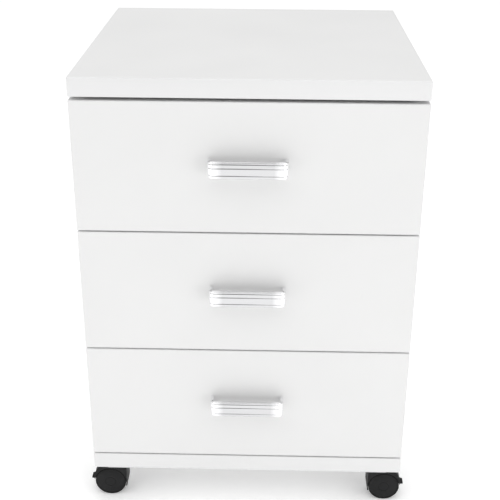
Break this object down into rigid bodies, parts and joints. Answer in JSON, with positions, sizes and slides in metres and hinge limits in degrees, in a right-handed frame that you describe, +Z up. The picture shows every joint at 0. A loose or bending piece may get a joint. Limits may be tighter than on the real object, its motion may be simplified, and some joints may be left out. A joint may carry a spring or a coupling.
{
  "type": "rolling pedestal cabinet",
  "caption": "Under-desk pedestal of white boards with full-overlay drawers on ball-bearing slides, chrome bow handles and hooded twin-wheel casters with brakes at the front.",
  "frame": {"origin": "on the floor, under the centre of the whole object's bounding box", "axes": "+Z up; the drawers open towards -Y; +X to the right seen from the front"},
  "size_m": [0.4166, 0.416, 0.572],
  "materials": {
    "white_board": "white melamine-faced particle board with edge banding, satin",
    "white_hardboard": "white lacquered hardboard, satin",
    "zinc_steel": "zinc-plated sheet steel",
    "chrome": "bright chrome plate",
    "black_nylon": "black moulded nylon, semi-matt"
  },
  "bodies": {
    "cabinet": {"top_panel": "white_board", "bottom_panel": "white_board", "side_panel_left": "white_board", "side_panel_right": "white_board", "back_panel": "white_hardboard", "lower_slide_outer_left": "zinc_steel", "lower_slide_outer_right": "zinc_steel", "middle_slide_outer_left": "zinc_steel", "middle_slide_outer_right": "zinc_steel", "upper_slide_outer_left": "zinc_steel", "upper_slide_outer_right": "zinc_steel", "front_left_caster_plate": "zinc_steel", "front_right_caster_plate": "zinc_steel", "rear_left_caster_plate": "zinc_steel", "rear_right_caster_plate": "zinc_steel"},
    "lower_drawer": {"lower_drawer_front": "white_board", "lower_drawer_side_left": "white_board", "lower_drawer_side_right": "white_board", "lower_drawer_back": "white_board", "lower_drawer_bottom": "white_hardboard", "lower_handle": "chrome", "lower_slide_inner_left": "zinc_steel", "lower_slide_inner_right": "zinc_steel"},
    "lower_carriages": {"lower_slide_carriage_left": "zinc_steel", "lower_slide_carriage_right": "zinc_steel"},
    "middle_drawer": {"middle_drawer_front": "white_board", "middle_drawer_side_left": "white_board", "middle_drawer_side_right": "white_board", "middle_drawer_back": "white_board", "middle_drawer_bottom": "white_hardboard", "middle_handle": "chrome", "middle_slide_inner_left": "zinc_steel", "middle_slide_inner_right": "zinc_steel"},
    "middle_carriages": {"middle_slide_carriage_left": "zinc_steel", "middle_slide_carriage_right": "zinc_steel"},
    "upper_drawer": {"upper_drawer_front": "white_board", "upper_drawer_side_left": "white_board", "upper_drawer_side_right": "white_board", "upper_drawer_back": "white_board", "upper_drawer_bottom": "white_hardboard", "upper_handle": "chrome", "upper_slide_inner_left": "zinc_steel", "upper_slide_inner_right": "zinc_steel"},
    "upper_carriages": {"upper_slide_carriage_left": "zinc_steel", "upper_slide_carriage_right": "zinc_steel"},
    "front_left_swivel": {"front_left_caster_hood": "black_nylon"},
    "front_left_front_wheel": {"front_left_wheel_front": "black_nylon"},
    "front_left_rear_wheel": {"front_left_wheel_rear": "black_nylon"},
    "front_left_brake": {"front_left_brake_lever": "black_nylon"},
    "front_right_swivel": {"front_right_caster_hood": "black_nylon"},
    "front_right_front_wheel": {"front_right_wheel_front": "black_nylon"},
    "front_right_rear_wheel": {"front_right_wheel_rear": "black_nylon"},
    "front_right_brake": {"front_right_brake_lever": "black_nylon"},
    "rear_left_swivel": {"rear_left_caster_hood": "black_nylon"},
    "rear_left_front_wheel": {"rear_left_wheel_front": "black_nylon"},
    "rear_left_rear_wheel": {"rear_left_wheel_rear": "black_nylon"},
    "rear_right_swivel": {"rear_right_caster_hood": "black_nylon"},
    "rear_right_front_wheel": {"rear_right_wheel_front": "black_nylon"},
    "rear_right_rear_wheel": {"rear_right_wheel_rear": "black_nylon"}
  },
  "joints": [
    {"name": "lower_drawer_slide", "type": "slide", "parent": "cabinet", "child": "lower_drawer", "axis": [0, -1, 0], "range_m": [0, 0.35]},
    {"name": "lower_carriage_slide", "type": "slide", "parent": "cabinet", "child": "lower_carriages", "axis": [0, -1, 0], "range_m": [0, 0.175]},
    {"name": "middle_drawer_slide", "type": "slide", "parent": "cabinet", "child": "middle_drawer", "axis": [0, -1, 0], "range_m": [0, 0.35]},
    {"name": "middle_carriage_slide", "type": "slide", "parent": "cabinet", "child": "middle_carriages", "axis": [0, -1, 0], "range_m": [0, 0.175]},
    {"name": "upper_drawer_slide", "type": "slide", "parent": "cabinet", "child": "upper_drawer", "axis": [0, -1, 0], "range_m": [0, 0.35]},
    {"name": "upper_carriage_slide", "type": "slide", "parent": "cabinet", "child": "upper_carriages", "axis": [0, -1, 0], "range_m": [0, 0.175]},
    {"name": "front_left_swivel_turn", "type": "hinge", "parent": "cabinet", "child": "front_left_swivel", "pos_m": [-0.1658, -0.1645, 0.03], "axis": [0, 0, 1], "continuous": true},
    {"name": "front_left_front_wheel_spin", "type": "hinge", "parent": "front_left_swivel", "child": "front_left_front_wheel", "pos_m": [-0.1818, -0.17445, 0.0204], "axis": [0, 1, 0], "continuous": true},
    {"name": "front_left_rear_wheel_spin", "type": "hinge", "parent": "front_left_swivel", "child": "front_left_rear_wheel", "pos_m": [-0.1818, -0.15455, 0.0204], "axis": [0, 1, 0], "continuous": true},
    {"name": "front_left_brake_press", "type": "hinge", "parent": "front_left_swivel", "child": "front_left_brake", "pos_m": [-0.1918, -0.1645, 0.027], "axis": [0, -1, 0], "range_deg": [0, 12]},
    {"name": "front_right_swivel_turn", "type": "hinge", "parent": "cabinet", "child": "front_right_swivel", "pos_m": [0.1658, -0.1645, 0.03], "axis": [0, 0, 1], "continuous": true},
    {"name": "front_right_front_wheel_spin", "type": "hinge", "parent": "front_right_swivel", "child": "front_right_front_wheel", "pos_m": [0.1818, -0.17445, 0.0204], "axis": [0, 1, 0], "continuous": true},
    {"name": "front_right_rear_wheel_spin", "type": "hinge", "parent": "front_right_swivel", "child": "front_right_rear_wheel", "pos_m": [0.1818, -0.15455, 0.0204], "axis": [0, 1, 0], "continuous": true},
    {"name": "front_right_brake_press", "type": "hinge", "parent": "front_right_swivel", "child": "front_right_brake", "pos_m": [0.1918, -0.1645, 0.027], "axis": [0, 1, 0], "range_deg": [0, 12]},
    {"name": "rear_left_swivel_turn", "type": "hinge", "parent": "cabinet", "child": "rear_left_swivel", "pos_m": [-0.1658, 0.1855, 0.03], "axis": [0, 0, 1], "continuous": true},
    {"name": "rear_left_front_wheel_spin", "type": "hinge", "parent": "rear_left_swivel", "child": "rear_left_front_wheel", "pos_m": [-0.1818, 0.17555, 0.0204], "axis": [0, 1, 0], "continuous": true},
    {"name": "rear_left_rear_wheel_spin", "type": "hinge", "parent": "rear_left_swivel", "child": "rear_left_rear_wheel", "pos_m": [-0.1818, 0.19545, 0.0204], "axis": [0, 1, 0], "continuous": true},
    {"name": "rear_right_swivel_turn", "type": "hinge", "parent": "cabinet", "child": "rear_right_swivel", "pos_m": [0.1658, 0.1855, 0.03], "axis": [0, 0, 1], "continuous": true},
    {"name": "rear_right_front_wheel_spin", "type": "hinge", "parent": "rear_right_swivel", "child": "rear_right_front_wheel", "pos_m": [0.1818, 0.17555, 0.0204], "axis": [0, 1, 0], "continuous": true},
    {"name": "rear_right_rear_wheel_spin", "type": "hinge", "parent": "rear_right_swivel", "child": "rear_right_rear_wheel", "pos_m": [0.1818, 0.19545, 0.0204], "axis": [0, 1, 0], "continuous": true}
  ],
  "couplings": [
    {"joint": "lower_carriage_slide", "follows": "lower_drawer_slide", "ratio": 0.5},
    {"joint": "middle_carriage_slide", "follows": "middle_drawer_slide", "ratio": 0.5},
    {"joint": "upper_carriage_slide", "follows": "upper_drawer_slide", "ratio": 0.5}
  ]
}
